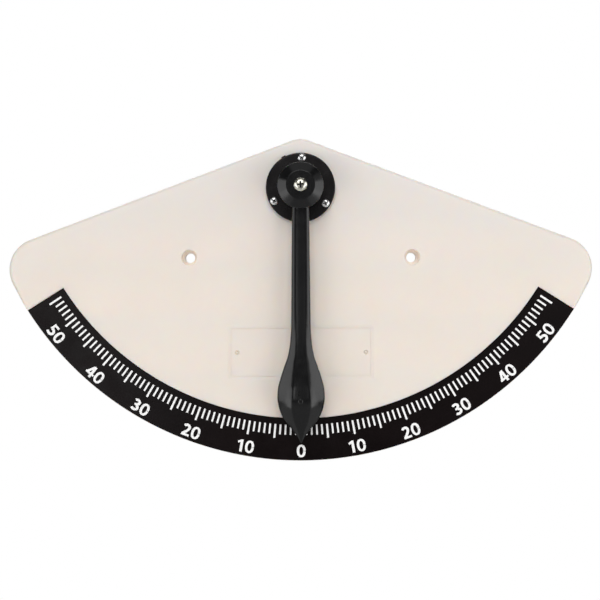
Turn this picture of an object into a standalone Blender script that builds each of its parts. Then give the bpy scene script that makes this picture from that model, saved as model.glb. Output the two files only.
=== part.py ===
"""Bulkhead clinometer: a moulded sector plate with a printed heel scale and a
pendulum that swings on a flanged ball-bearing pivot.

Row frame, metres: +Z up, -Y out of the front of the instrument, +Y into the
bulkhead.  The origin lies on the bulkhead plane, midway between the axes of the
two mounting screws.  In the code a depth h (mm) is measured forward from the
bulkhead plane, so a point at depth h has y = -h.  All other sizes are in mm and
become metres where a vertex is made.
"""

import math

import bmesh
import bpy

MM = 0.001

# ---------------------------------------------------------------- plate outline
R_OUT = 193.6          # lower arc of the plate
R_BAND_IN = 168.2      # inner edge of the scale band
Z_ARC = 71.7           # height of the centre of both arcs
Z_APEX = 72.3          # where the two upper edges would meet
EDGE_SLOPE = math.radians(20.65)
R_APEX = 16.3
R_CORNER = 19.0
BAND_HALF = math.radians(57.8)

# ------------------------------------------------------------------ plate depth
H_FRONT = 14.0         # front face above the bulkhead plane
WALL = 3.0             # front wall
SKIRT = 2.6            # perimeter skirt
EDGE_ROUND = 2.6       # rounding of the front edge
BAND_ROUND = 0.65      # the same beside the scale band
RIB = 2.0
H_RIB = 1.0            # ribs stop this far short of the bulkhead
BAND_T = 0.7
BAND_POCKET = 0.8

# --------------------------------------------------------------- mounting holes
HOLE_X = 66.9          # half the distance between the mounting screws
R_HOLE = 2.9
R_CBORE = 4.6
H_CBORE = 4.5          # seat of the mounting screw's head
R_HOLE_BOSS = 8.0

# ------------------------------------------------------------- name plate panel
PANEL_W, PANEL_H, PANEL_Z, PANEL_DEPTH = 87.0, 32.3, -57.0, 0.3
PANEL_BEVEL = 1.5
PANEL_PIN_X, R_PANEL_PIN = 38.6, 1.0

# ------------------------------------------------------------------------ pivot
Z_PIVOT = 41.7
R_FLANGE = 20.75
H_FLANGE = 17.2        # front of the flange disc
R_BOSS = 9.5
H_BOSS = 30.0
H_SPIGOT = 9.7
R_SEAT = 6.6
R_STEP = 5.4
R_AXLE = 1.95
PCD_R = 17.65          # pitch radius of the three flange screws
FLANGE_TURN = 2.7      # the flange sits this many degrees clockwise

# --------------------------------------------------------------------- bearings
R_BEARING, R_BORE, BEARING_W = 6.5, 2.05, 5.0
R_PITCH, R_BALL, R_GROOVE = 4.25, 1.19, 1.30
R_LAND_IN, R_LAND_OUT = 3.35, 5.20
BALLS = 7
H_FRONT_BEARING = 27.4  # middle of the front bearing
H_REAR_BEARING = 12.4   # middle of the rear bearing

# --------------------------------------------------------------------- pendulum
H_BACK = 20.5          # flat back of the pendulum
H_CAP = 36.0           # front face of the hub cap
R_CAP = 13.6
R_CAP_FLAT = 8.5
LENGTH = 152.2         # pivot axis to the point

# Distance below the pivot, half width, thickness, half width of the ridge, steepest
# tilt of the flank in degrees, and the radius of the front edge.
STATIONS = (
    (6.0, 5.05, 6.8, 2.2, 8, 2.1),
    (40.0, 5.38, 6.8, 2.3, 8, 2.2),
    (70.0, 5.68, 6.85, 2.4, 10, 2.3),
    (82.0, 5.83, 6.9, 2.4, 14, 2.3),
    (92.0, 6.40, 7.1, 2.5, 24, 2.0),
    (100.0, 7.70, 7.5, 2.7, 32, 1.6),
    (107.0, 10.10, 8.3, 3.1, 34, 1.4),
    (114.0, 12.35, 9.0, 3.8, 34, 1.3),
    (120.0, 13.80, 9.35, 4.3, 34, 1.3),
    (125.0, 14.10, 9.35, 4.5, 34, 1.3),
    (130.0, 13.40, 8.95, 4.3, 33, 1.3),
    (135.5, 11.50, 7.45, 3.6, 33, 1.2),
    (140.0, 8.70, 5.75, 2.7, 31, 1.1),
    (144.5, 5.00, 3.9, 1.5, 29, 0.9),
    (148.5, 2.30, 2.5, 0.7, 25, 0.7),
    (LENGTH, 0.35, 1.4, 0.1, 20, 0.15),
)
SHELL = 2.0            # shell of the pendulum
LIP = 1.1              # how far the back cover's rebate lies inside the outline
COVER_T = 1.4
COVER_SCREWS = (34.0, 125.0)  # distances below the pivot

# --------------------------------------------------------------------- finishes
FINISHES = {
    "cream_plastic": ((0.86, 0.78, 0.69), 0.42, 0.0),
    "scale_black": ((0.012, 0.011, 0.011), 0.35, 0.0),
    "black_plastic": ((0.013, 0.013, 0.014), 0.22, 0.0),
    "nickel": ((0.72, 0.71, 0.62), 0.25, 1.0),
    "bearing_steel": ((0.55, 0.56, 0.58), 0.22, 1.0),
    "cage_steel": ((0.42, 0.42, 0.43), 0.35, 1.0),
    "brass": ((0.72, 0.53, 0.22), 0.3, 1.0),
    "iron": ((0.12, 0.12, 0.13), 0.6, 1.0),
}


def clear_scene():
    for obj in list(bpy.data.objects):
        bpy.data.objects.remove(obj)


def material(name):
    found = bpy.data.materials.get(name)
    if found:
        return found
    colour, roughness, metallic = FINISHES[name]
    made = bpy.data.materials.new(name)
    made.use_nodes = True
    shader = made.node_tree.nodes["Principled BSDF"]
    shader.inputs["Base Color"].default_value = (*colour, 1.0)
    shader.inputs["Roughness"].default_value = roughness
    shader.inputs["Metallic"].default_value = metallic
    return made


def point(x, h, z):
    """A vertex position in metres from x, depth h and z in millimetres."""
    return (x * MM, -h * MM, z * MM)


def finish_mesh(bm, name):
    bmesh.ops.recalc_face_normals(bm, faces=bm.faces)
    mesh = bpy.data.meshes.new(name)
    bm.to_mesh(mesh)
    bm.free()
    obj = bpy.data.objects.new(name, mesh)
    bpy.context.scene.collection.objects.link(obj)
    return obj


def loft(name, loops):
    """A closed body through loops of (x, h, z) points, one point count for all, capped at both ends."""
    bm = bmesh.new()
    rings = [[bm.verts.new(point(*p)) for p in loop] for loop in loops]
    for a, b in zip(rings, rings[1:]):
        for i in range(len(a)):
            j = (i + 1) % len(a)
            bm.faces.new((a[i], a[j], b[j], b[i]))
    bm.faces.new(rings[0])
    bm.faces.new(list(reversed(rings[-1])))
    return finish_mesh(bm, name)


def prism(name, outline, h0, h1):
    """A body of constant outline [(x, z), ...] from depth h0 to h1."""
    return loft(name, [[(x, h, z) for x, z in outline] for h in (h0, h1)])


def turned(name, profile, x=0.0, z=0.0, steps=32, ring=False, phase=0.0):
    """A body turned about the Y direction through (x, z) from (radius, depth) points.

    An open profile starts and ends on the axis; with ring set it closes on itself."""
    bm = bmesh.new()
    rings = []
    for r, h in profile:
        if r < 1e-9:
            rings.append([bm.verts.new(point(x, h, z))])
            continue
        rings.append(
            [
                bm.verts.new(
                    point(
                        x + r * math.cos(phase + 2 * math.pi * i / steps),
                        h,
                        z + r * math.sin(phase + 2 * math.pi * i / steps),
                    )
                )
                for i in range(steps)
            ]
        )
    pairs = list(zip(rings, rings[1:])) + ([(rings[-1], rings[0])] if ring else [])
    for a, b in pairs:
        for i in range(steps):
            j = (i + 1) % steps
            if len(a) == 1:
                bm.faces.new((a[0], b[j], b[i]))
            elif len(b) == 1:
                bm.faces.new((a[i], a[j], b[0]))
            else:
                bm.faces.new((a[i], a[j], b[j], b[i]))
    return finish_mesh(bm, name)


def cylinder(name, r, h0, h1, x=0.0, z=0.0, steps=32, phase=0.0):
    return turned(name, [(0, h0), (r, h0), (r, h1), (0, h1)], x, z, steps, phase=phase)


def box(name, x0, x1, h0, h1, z0, z1):
    return prism(name, [(x0, z0), (x1, z0), (x1, z1), (x0, z1)], h0, h1)


def combine(obj, other, operation):
    """Applies one Boolean to obj and removes the other body."""
    modifier = obj.modifiers.new(operation.lower(), "BOOLEAN")
    modifier.operation = operation
    modifier.solver = "EXACT"
    modifier.object = other
    graph = bpy.context.evaluated_depsgraph_get()
    mesh = bpy.data.meshes.new_from_object(obj.evaluated_get(graph))
    obj.modifiers.clear()
    old = obj.data
    obj.data = mesh
    bpy.data.meshes.remove(old)
    old = other.data
    bpy.data.objects.remove(other)
    bpy.data.meshes.remove(old)
    return obj


def cut(obj, *others):
    for other in others:
        combine(obj, other, "DIFFERENCE")
    return obj


def join(obj, *others):
    for other in others:
        combine(obj, other, "UNION")
    return obj


def tidy(obj):
    """Merges doubled points and the flat pieces that a Boolean leaves."""
    bm = bmesh.new()
    bm.from_mesh(obj.data)
    bmesh.ops.remove_doubles(bm, verts=bm.verts, dist=2e-6)
    bmesh.ops.dissolve_limit(
        bm,
        angle_limit=math.radians(0.05),
        verts=bm.verts,
        edges=bm.edges,
        delimit={"NORMAL"},
    )
    bmesh.ops.triangulate(bm, faces=bm.faces)
    bm.to_mesh(obj.data)
    bm.free()
    return obj


def finished(obj, name, finish, parent, smooth=True):
    """Names the piece, gives it its finish, and puts its origin on its parent's."""
    obj.name = name
    obj.data.name = name
    obj.data.materials.clear()
    obj.data.materials.append(material(finish))
    if smooth:
        obj.data.shade_smooth()
        obj.data.set_sharp_from_angle(angle=math.radians(30))
    origin = parent.location
    for vertex in obj.data.vertices:
        vertex.co -= origin
    obj.parent = parent
    return obj


def empty(name, x=0.0, h=0.0, z=0.0):
    obj = bpy.data.objects.new(name, None)
    obj.empty_display_size = 0.02
    obj.location = point(x, h, z)
    bpy.context.scene.collection.objects.link(obj)
    return obj


# ------------------------------------------------------------------ base plate


def arc(cx, cz, r, a0, a1, n):
    return [
        (
            cx + r * math.cos(a0 + (a1 - a0) * i / n),
            cz + r * math.sin(a0 + (a1 - a0) * i / n),
        )
        for i in range(n + 1)
    ]


def plate_outline(inset):
    """The plate's outline moved inwards: apex, straight upper edges, corners and lower arc."""
    up = math.pi / 2 - EDGE_SLOPE
    line = math.cos(EDGE_SLOPE) * Z_APEX - inset
    r_apex, r_corner, r_arc = R_APEX - inset, R_CORNER - inset, R_OUT - inset
    z_apex = (line - r_apex) / math.cos(EDGE_SLOPE)
    beta = (
        math.asin(
            (line - r_corner - math.cos(EDGE_SLOPE) * Z_ARC) / (r_arc - r_corner)
        )
        - EDGE_SLOPE
    )
    kx = (r_arc - r_corner) * math.cos(beta)
    kz = Z_ARC + (r_arc - r_corner) * math.sin(beta)
    right = arc(0, z_apex, r_apex, math.pi / 2, up, 4) + arc(
        kx, kz, r_corner, up, beta, 9
    )
    lower = arc(0, Z_ARC, r_arc, beta, -math.pi - beta, 52)
    left = [(-px, pz) for px, pz in reversed(right)]
    return right + lower[1:-1] + left[:-1]


def plate_loops(profile):
    """The plate's outline at each (inset, drop) of a rounding of unit radius.

    The rounding has its full radius along the upper edges and a small one beside
    the band, and the two blend at the corners."""
    outer, inner = plate_outline(0.0), plate_outline(EDGE_ROUND)
    loops = [[(x, 0.0, z) for x, z in outer]]
    for inset, drop in profile:
        loop = []
        for (x, z), (u, w) in zip(outer, inner):
            off = abs(math.atan2(x, Z_ARC - z))
            blend = min(1.0, max(0.0, (off - BAND_HALF) / math.radians(4.0)))
            radius = BAND_ROUND + (EDGE_ROUND - BAND_ROUND) * blend
            k = inset * radius / EDGE_ROUND
            loop.append((x + (u - x) * k, H_FRONT - drop * radius, z + (w - z) * k))
        loops.append(loop)
    return loops


def sector(name, r0, r1, half, h0, h1, n):
    """A band between two arcs about the scale's centre, hanging down."""
    outline = arc(0, Z_ARC, r1, -math.pi / 2 - half, -math.pi / 2 + half, n)
    outline += reversed(arc(0, Z_ARC, r0, -math.pi / 2 - half, -math.pi / 2 + half, n))
    return prism(name, outline, h0, h1)


def screw_places():
    """The three flange screws, as (name, x, z)."""
    places = []
    for name, clock in (("top", 0), ("right", 120), ("left", 240)):
        turn = math.radians(clock + FLANGE_TURN)
        places.append(
            (name, PCD_R * math.sin(turn), Z_PIVOT + PCD_R * math.cos(turn))
        )
    return places


def make_base_plate():
    rounding = [(0.0, 1.0), (0.134, 0.5), (0.5, 0.134), (1.0, 0.0)]
    plate = loft("plate", plate_loops(rounding))
    # The hollow behind the front wall, less everything that stays standing in it.
    hollow = prism("hollow", plate_outline(SKIRT), -1.0, H_FRONT - WALL)
    deep = H_FRONT - WALL + 1.5
    for x in (-138.0, -102.5, -HOLE_X, -33.45, 0.0, 33.45, HOLE_X, 102.5, 138.0):
        cut(hollow, box("rib", x - RIB / 2, x + RIB / 2, H_RIB, deep, -130, 80))
    for z in (-99.0, -66.0, -33.0, 0.0, 33.0):
        cut(hollow, box("rib", -180, 180, H_RIB, deep, z - RIB / 2, z + RIB / 2))
    cut(hollow, box("tie", -HOLE_X, HOLE_X, -2.0, deep, -1.6, 1.6))
    for side in (-1, 1):
        cut(
            hollow,
            cylinder("boss", R_HOLE_BOSS, -2.0, deep, side * HOLE_X, 0.0, 32, 0.05),
        )
    cut(hollow, cylinder("tube", R_BOSS + 3.5, 4.0, deep, 0.0, Z_PIVOT, 40, 0.03))
    for _, x, z in screw_places():
        cut(hollow, cylinder("boss", 3.4, 4.0, deep, x, z, 20, 0.05))
    cut(plate, hollow)
    cut(
        plate,
        cylinder("bore", R_BOSS + 0.3, -2.0, 20.0, 0.0, Z_PIVOT, 48),
        sector(
            "band_pocket",
            R_BAND_IN - 0.15,
            R_OUT + 6,
            BAND_HALF + 0.15 / R_OUT,
            H_FRONT - BAND_POCKET,
            H_FRONT + 3,
            52,
        ),
    )
    for side in (-1, 1):
        cut(
            plate,
            turned(
                "stepped_hole",
                [
                    (0, -2.0), (R_HOLE, -2.0), (R_HOLE, H_CBORE),
                    (R_CBORE, H_CBORE), (R_CBORE, 20.0), (0, 20.0),
                ],  # fmt: skip
                side * HOLE_X,
                0.0,
                32,
                phase=0.07,
            ),
            cylinder(
                "pin", R_PANEL_PIN, H_FRONT - 1.6, 20.0, side * PANEL_PIN_X, PANEL_Z, 12
            ),
        )
    for _, x, z in screw_places():
        cut(plate, cylinder("pilot", 1.3, 2.0, 20.0, x, z, 12))
    loops = []
    for grow, h in ((-PANEL_BEVEL, H_FRONT - PANEL_DEPTH), (0.0, H_FRONT - 0.08), (1.2, H_FRONT + 1.0)):
        x, z = PANEL_W / 2 + grow, PANEL_H / 2 + grow
        corners = ((-x, -z), (x, -z), (x, z), (-x, z))
        loops.append([(cx, h, PANEL_Z + cz) for cx, cz in corners])
    cut(plate, loft("panel", loops))
    return tidy(plate)


def make_scale_band():
    gap = BAND_POCKET - BAND_T
    return sector(
        "band",
        R_BAND_IN,
        R_OUT - 0.25,
        BAND_HALF,
        H_FRONT - BAND_POCKET + gap,
        H_FRONT,
        52,
    )


# ----------------------------------------------------------------------- pivot


def make_flange():
    profile = [
        (R_FLANGE, H_FRONT + 0.2),
        (R_FLANGE, H_FLANGE - 0.6),
        (R_FLANGE - 0.6, H_FLANGE),
        (R_BOSS + 0.9, H_FLANGE),
        (R_BOSS, H_FLANGE + 0.9),
        (R_BOSS, H_BOSS),
        (R_SEAT, H_BOSS),
        (R_SEAT, H_FRONT_BEARING - BEARING_W / 2 - 0.1),
        (R_STEP, H_FRONT_BEARING - BEARING_W / 2 - 0.1),
        (R_STEP, H_REAR_BEARING + BEARING_W / 2 + 0.1),
        (R_SEAT, H_REAR_BEARING + BEARING_W / 2 + 0.1),
        (R_SEAT, H_SPIGOT),
        (R_BOSS, H_SPIGOT),
        (R_BOSS, H_FRONT + 0.2),
    ]
    flange = turned("flange", profile, 0.0, Z_PIVOT, 44, ring=True)
    for _, x, z in screw_places():
        cut(flange, cylinder("hole", 1.5, 10.0, 24.0, x, z, 14))
    return tidy(flange)


def cross(name, reach, width, h_top, depth, x, z, turn=0.0, taper=0.72):
    """The cross recess of a screw head, narrower at its floor."""
    loops = []
    for h, k in ((h_top + 0.4, 1.0), (h_top - depth, taper)):
        a, b = reach * k, width * (0.5 + 0.5 * k) / 2
        outline = [
            (a, -b), (a, b), (b, b), (b, a), (-b, a), (-b, b),
            (-a, b), (-a, -b), (-b, -b), (-b, -a), (b, -a), (b, -b),
        ]  # fmt: skip
        loops.append(
            [
                (
                    x + px * math.cos(turn) - pz * math.sin(turn),
                    h,
                    z + px * math.sin(turn) + pz * math.cos(turn),
                )
                for px, pz in outline
            ]
        )
    return loft(name, loops)


def make_flange_screw(x, z, turn):
    seat = H_FLANGE + 0.1
    profile = [
        (0, seat + 1.75), (1.35, seat + 1.62), (2.1, seat + 1.2), (2.42, seat + 0.6),
        (2.42, seat), (1.15, seat), (1.15, 7.6), (0.5, 6.6), (0, 6.6),
    ]  # fmt: skip
    screw = turned("screw", profile, x, z, 18)
    return tidy(cut(screw, cross("x", 1.3, 0.6, seat + 1.75, 1.0, x, z, turn)))


def make_centre_screw():
    seat = H_CAP + 0.1
    profile = [
        (0, seat + 3.45), (1.6, seat + 3.35), (2.9, seat + 2.9), (3.8, seat + 2.0),
        (4.2, seat + 1.0), (4.2, seat + 0.25), (4.0, seat), (R_AXLE, seat),
        (R_AXLE, 1.6), (1.6, 1.1), (0, 1.1),
    ]  # fmt: skip
    screw = turned("screw", profile, 0.0, Z_PIVOT, 28)
    return tidy(
        cut(
            screw,
            cross("x", 2.15, 0.98, seat + 3.45, 1.9, 0.0, Z_PIVOT, math.radians(5)),
        )
    )


# -------------------------------------------------------------------- bearings


def groove(side, mid):
    """Race points from one land to the other: side -1 for the inner ring, 1 for the outer."""
    land = R_LAND_IN if side < 0 else R_LAND_OUT
    reach = math.acos(abs(land - R_PITCH) / R_GROOVE)
    return [
        (
            R_PITCH + side * R_GROOVE * math.cos(reach * k / 2),
            mid + R_GROOVE * math.sin(reach * k / 2),
        )
        for k in (-2, -1, 0, 1, 2)
    ]


def make_outer_ring(mid):
    w = BEARING_W / 2
    profile = [(R_BEARING, mid - w), (R_LAND_OUT, mid - w)]
    profile += groove(1, mid) + [(R_LAND_OUT, mid + w), (R_BEARING, mid + w)]
    return turned("outer", profile, 0.0, Z_PIVOT, 36, ring=True)


def make_inner_ring(mid):
    w = BEARING_W / 2
    profile = [(R_BORE, mid - w), (R_LAND_IN, mid - w)]
    profile += groove(-1, mid) + [(R_LAND_IN, mid + w), (R_BORE, mid + w)]
    return turned("inner", profile, 0.0, Z_PIVOT, 30, ring=True)


def make_shield(mid, side):
    h0, h1 = sorted((mid + side * 2.08, mid + side * 2.38))
    profile = [(3.52, h0), (5.08, h0), (5.08, h1), (3.52, h1)]
    return turned("shield", profile, 0.0, Z_PIVOT, 28, ring=True)


def make_cage(mid):
    profile = [(3.85, mid - 1.7), (4.65, mid - 1.7), (4.65, mid + 1.7), (3.85, mid + 1.7)]
    cage = turned("cage", profile, 0.0, Z_PIVOT, 28, ring=True)
    for k in range(BALLS):
        a = 2 * math.pi * k / BALLS + math.pi / 2
        ca, sa = math.cos(a), math.sin(a)
        loops = []
        for r in (3.0, 5.6):
            loop = []
            for i in range(10):
                t = 2 * math.pi * i / 10
                along, out = 1.33 * math.cos(t), 1.33 * math.sin(t)
                loop.append((r * ca - along * sa, mid + out, Z_PIVOT + r * sa + along * ca))
            loops.append(loop)
        cut(cage, loft("pocket", loops))
    return tidy(cage)


def make_ball(mid, k):
    a = 2 * math.pi * k / BALLS + math.pi / 2
    bm = bmesh.new()
    bmesh.ops.create_uvsphere(bm, u_segments=12, v_segments=8, radius=R_BALL * MM)
    centre = point(R_PITCH * math.cos(a), mid, Z_PIVOT + R_PITCH * math.sin(a))
    bmesh.ops.translate(bm, verts=bm.verts, vec=centre)
    return finish_mesh(bm, "ball")


# -------------------------------------------------------------------- pendulum


def smooth(values, t):
    """Monotone cubic through (t, value) pairs, so that no bulge appears between stations."""
    xs = [v[0] for v in values]
    ys = [v[1] for v in values]
    n = len(xs)
    if t <= xs[0]:
        return ys[0]
    if t >= xs[-1]:
        return ys[-1]
    slope = [(ys[i + 1] - ys[i]) / (xs[i + 1] - xs[i]) for i in range(n - 1)]
    tangent = [slope[0]]
    for i in range(1, n - 1):
        a, b = slope[i - 1], slope[i]
        tangent.append(0.0 if a * b <= 0 else 2 * a * b / (a + b))
    tangent.append(slope[-1])
    i = max(k for k in range(n - 1) if xs[k] <= t)
    step = xs[i + 1] - xs[i]
    u = (t - xs[i]) / step
    return (
        (2 * u**3 - 3 * u**2 + 1) * ys[i]
        + (u**3 - 2 * u**2 + u) * step * tangent[i]
        + (-2 * u**3 + 3 * u**2) * ys[i + 1]
        + (u**3 - u**2) * step * tangent[i + 1]
    )


def half_width(d):
    return smooth([(s[0], s[1]) for s in STATIONS], d)


def front_profile(d, inner, outer):
    """Half of the front surface at distance d, from the middle out to the side wall.

    The sine of the surface's tilt grows slowly over the ridge, then quickly and
    ever more slowly over the flank, and an arc of the edge's radius ends it."""
    half, top, ridge, tilt, radius = (
        smooth([(s[0], s[k]) for s in STATIONS], d) for k in (1, 2, 3, 4, 5)
    )
    steep = math.sin(math.radians(tilt))
    radius = min(radius, 0.5 * half)
    end = half - radius * (1 - steep)
    ridge = min(ridge, end * 0.8)
    x, y, fine = 0.0, top, 16
    points = [(x, y)]
    for i in range(inner * fine):
        u = (i + 0.5) / (inner * fine) * end
        if u < ridge:
            sine = 0.06 * u / ridge
        else:
            t = (u - ridge) / (end - ridge)
            sine = 0.06 + (steep - 0.06) * (1 - (1 - t) ** 3.0)
        y -= sine / math.sqrt(1 - sine * sine) * end / (inner * fine)
        x += end / (inner * fine)
        if (i + 1) % fine == 0:
            points.append((x, y))
    angle = math.asin(steep)
    for i in range(1, outer + 1):
        q = angle + (math.pi / 2 - angle) * i / outer
        drop = radius * (math.cos(angle) - math.cos(q))
        points.append((end + radius * (math.sin(q) - steep), y - drop))
    return points


def section(d, inset=0.0, front=0.0, floor=H_BACK, inner=6, outer=3):
    """The pendulum's cross-section at distance d, taken in from the sides and the
    front, with its back at floor."""
    base = floor - H_BACK
    full = half_width(d)
    wide = full - inset
    half = [
        (x * wide / full, max(y - front, base + 0.6))
        for x, y in front_profile(d, inner, outer)
    ]
    half += [(wide, base), (0.0, base)]
    z = Z_PIVOT - d
    loop = [(x, H_BACK + y, z) for x, y in half]
    return loop + [(-x, H_BACK + y, z) for x, y in reversed(half[1:-1])]


def distances(d0, d1, n_arm, n_bob):
    """Station distances: wide apart along the arm, close together along the bob."""
    split = 88.0
    arm = [d0 + (split - d0) * i / n_arm for i in range(n_arm)]
    return arm + [split + (d1 - split) * i / n_bob for i in range(n_bob + 1)]


def make_pendulum_body():
    cap = turned(
        "cap",
        [
            (0, H_CAP), (R_CAP_FLAT - 0.7, H_CAP), (R_CAP_FLAT + 0.6, H_CAP - 0.35),
            (12.3, 33.7), (13.1, 33.0), (R_CAP, 31.8), (R_CAP, H_FLANGE + 1.2),
            (0, H_FLANGE + 1.2),
        ],  # fmt: skip
        0.0,
        Z_PIVOT,
        48,
    )
    arm = loft(
        "arm",
        [section(d) for d in distances(6.0, LENGTH, 5, 22)],
    )
    body = join(cap, arm)
    cut(
        body,
        cylinder("hollow", R_BOSS + 0.8, 10.0, H_BOSS + 0.5, 0.0, Z_PIVOT, 44, 0.04),
        cylinder("bore", 3.4, 20.0, 44.0, 0.0, Z_PIVOT, 28),
    )
    channel = loft(
        "channel",
        [
            section(d, LIP + 1.1, SHELL, H_BACK - 1.0, 4, 2)
            for d in distances(18.0, 141.0, 4, 14)
        ],
    )
    for d in COVER_SCREWS:
        cut(channel, cylinder("boss", 2.4, H_BACK + 1.7, 50.0, 0.0, Z_PIVOT - d, 14))
    cut(body, channel)
    cut(body, rebate(LIP, H_BACK - 1.0, H_BACK + 1.6, "rebate", 16.0, 143.0))
    for d in COVER_SCREWS:
        cut(body, cylinder("pilot", 0.95, H_BACK - 1, H_BACK + 5.0, 0.0, Z_PIVOT - d, 10))
    return tidy(body)


def rebate(inset, h0, h1, name, d0, d1):
    """The flat outline of the back opening, between two depths."""
    places = distances(d0, d1, 4, 18)
    right = [(half_width(d) - inset, Z_PIVOT - d) for d in places]
    return prism(name, right + [(-x, z) for x, z in reversed(right)], h0, h1)


def make_cover():
    cover = rebate(LIP + 0.2, H_BACK, H_BACK + COVER_T, "cover", 16.2, 142.7)
    for d in COVER_SCREWS:
        profile = [
            (0, H_BACK - 1), (2.3, H_BACK - 1), (2.3, H_BACK), (1.3, H_BACK + 1.0),
            (1.3, H_BACK + 4), (0, H_BACK + 4),
        ]  # fmt: skip
        cut(cover, turned("sink", profile, 0.0, Z_PIVOT - d, 16))
    return tidy(cover)


def make_cover_screw(d):
    profile = [
        (0, H_BACK + 0.05), (2.1, H_BACK + 0.05), (1.15, H_BACK + 1.0),
        (0.82, H_BACK + 1.2), (0.82, H_BACK + 4.2), (0, H_BACK + 4.8),
    ]  # fmt: skip
    screw = turned("screw", profile, 0.0, Z_PIVOT - d, 14)
    slot = cross("x", 1.1, 0.5, H_BACK - 0.35, -1.05, 0.0, Z_PIVOT - d, 0.3)
    return tidy(cut(screw, slot))


def make_bob_weight():
    floor = H_BACK + 1.9
    weight = loft(
        "weight",
        [section(d, LIP + 3.0, SHELL + 1.3, floor, 4, 2) for d in
         [104.0 + 34.0 * i / 12 for i in range(13)]],
    )  # fmt: skip
    cut(weight, cylinder("hole", 2.7, 10.0, 50.0, 0.0, Z_PIVOT - COVER_SCREWS[1], 16))
    return tidy(weight)


def make_nut():
    outline = [
        (4.04 * math.cos(math.pi * k / 3 + 0.2), Z_PIVOT + 4.04 * math.sin(math.pi * k / 3 + 0.2))
        for k in range(6)
    ]
    nut = prism("nut", outline, 4.9, 8.7)
    join(nut, cylinder("collar", 3.25, 3.9, 5.4, 0.0, Z_PIVOT, 24))
    return tidy(cut(nut, cylinder("bore", R_BORE, 2.0, 10.0, 0.0, Z_PIVOT, 24)))


def tube(name, r0, r1, h0, h1, steps=28):
    return turned(name, [(r0, h0), (r1, h0), (r1, h1), (r0, h1)], 0.0, Z_PIVOT, steps, True)


def main():
    clear_scene()
    fixed = empty("fixed_parts")
    swing = empty("pendulum_axis", 0.0, H_FRONT, Z_PIVOT)
    finished(make_base_plate(), "base_plate", "cream_plastic", fixed)
    finished(make_scale_band(), "scale_band", "scale_black", fixed)
    finished(make_flange(), "pivot_flange", "black_plastic", fixed)
    for index, (name, x, z) in enumerate(screw_places()):
        screw = make_flange_screw(x, z, (0.5, 0.15, 0.9)[index])
        finished(screw, "flange_screw_" + name, "nickel", fixed)
    for name, mid in (("front", H_FRONT_BEARING), ("rear", H_REAR_BEARING)):
        rolling = empty(name + "_ball_set_axis", 0.0, mid, Z_PIVOT)
        finished(make_outer_ring(mid), name + "_bearing_outer_ring", "bearing_steel", fixed)
        finished(make_inner_ring(mid), name + "_bearing_inner_ring", "bearing_steel", swing)
        for side, word in ((1, "outer"), (-1, "inner")):
            towards = side if name == "front" else -side
            shield = make_shield(mid, towards)
            finished(shield, name + "_bearing_shield_" + word, "cage_steel", fixed)
        finished(make_cage(mid), name + "_bearing_cage", "cage_steel", rolling)
        for k in range(BALLS):
            ball = make_ball(mid, k)
            finished(ball, f"{name}_bearing_ball_{k + 1}", "bearing_steel", rolling)
    finished(make_pendulum_body(), "pendulum_body", "black_plastic", swing)
    finished(make_cover(), "pendulum_back_cover", "black_plastic", swing)
    finished(make_bob_weight(), "bob_weight", "iron", swing)
    finished(make_cover_screw(COVER_SCREWS[0]), "cover_screw_upper", "nickel", swing)
    finished(make_cover_screw(COVER_SCREWS[1]), "cover_screw_lower", "nickel", swing)
    finished(tube("bush", 2.1, 3.3, 30.05, 35.9), "hub_bush", "brass", swing)
    finished(make_centre_screw(), "centre_screw", "nickel", swing)
    gap = 0.1
    spacer = tube(
        "spacer", 2.1, 2.95,
        H_REAR_BEARING + BEARING_W / 2 + gap,
        H_FRONT_BEARING - BEARING_W / 2 - gap,
    )  # fmt: skip
    finished(spacer, "bearing_spacer", "bearing_steel", swing)
    finished(tube("washer", 2.15, 3.9, 8.8, 9.75), "rear_washer", "nickel", swing)
    finished(make_nut(), "lock_nut", "nickel", swing)


main()
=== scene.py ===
import math

import bmesh
import bpy
from mathutils import Matrix, Vector


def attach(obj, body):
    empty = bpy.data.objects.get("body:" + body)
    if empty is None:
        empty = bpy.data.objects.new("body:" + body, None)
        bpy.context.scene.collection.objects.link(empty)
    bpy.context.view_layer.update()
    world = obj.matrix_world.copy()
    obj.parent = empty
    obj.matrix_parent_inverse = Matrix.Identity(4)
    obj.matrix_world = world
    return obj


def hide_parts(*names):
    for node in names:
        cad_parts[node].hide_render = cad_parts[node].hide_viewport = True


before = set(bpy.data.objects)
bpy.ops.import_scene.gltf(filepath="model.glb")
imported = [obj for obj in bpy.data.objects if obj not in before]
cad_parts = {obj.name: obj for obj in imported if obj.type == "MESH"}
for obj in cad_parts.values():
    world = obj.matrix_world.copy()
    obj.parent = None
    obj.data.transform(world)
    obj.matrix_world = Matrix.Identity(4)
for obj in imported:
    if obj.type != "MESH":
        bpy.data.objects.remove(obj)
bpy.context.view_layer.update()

# Row frame: metres, +Z up, -Y out of the front.  Sizes below are in mm, and a depth
# h is measured forward from the bulkhead plane, so y = -h.
MM = 0.001
R_OUT, R_BAND_IN, Z_ARC, Z_APEX = 193.6, 168.2, 71.7, 72.3
EDGE_SLOPE = math.radians(20.65)
R_APEX, R_CORNER = 16.3, 19.0
BAND_HALF = math.radians(57.8)
H_FRONT, WALL, SKIRT, RIB, H_RIB = 14.0, 3.0, 2.6, 2.0, 1.0
HOLE_X, R_HOLE, R_CBORE, H_CBORE, R_HOLE_BOSS = 66.9, 2.9, 4.6, 4.5, 8.0
PANEL_W, PANEL_H, PANEL_Z, PANEL_PIN_X = 87.0, 32.3, -57.0, 38.6
Z_PIVOT, R_FLANGE, H_FLANGE, R_BOSS, H_BOSS, H_SPIGOT = 41.7, 20.75, 17.2, 9.5, 30.0, 9.7
PCD_R, FLANGE_TURN = 17.65, 2.7
H_FRONT_BEARING, H_REAR_BEARING, BALLS = 27.4, 12.4, 7
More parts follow.
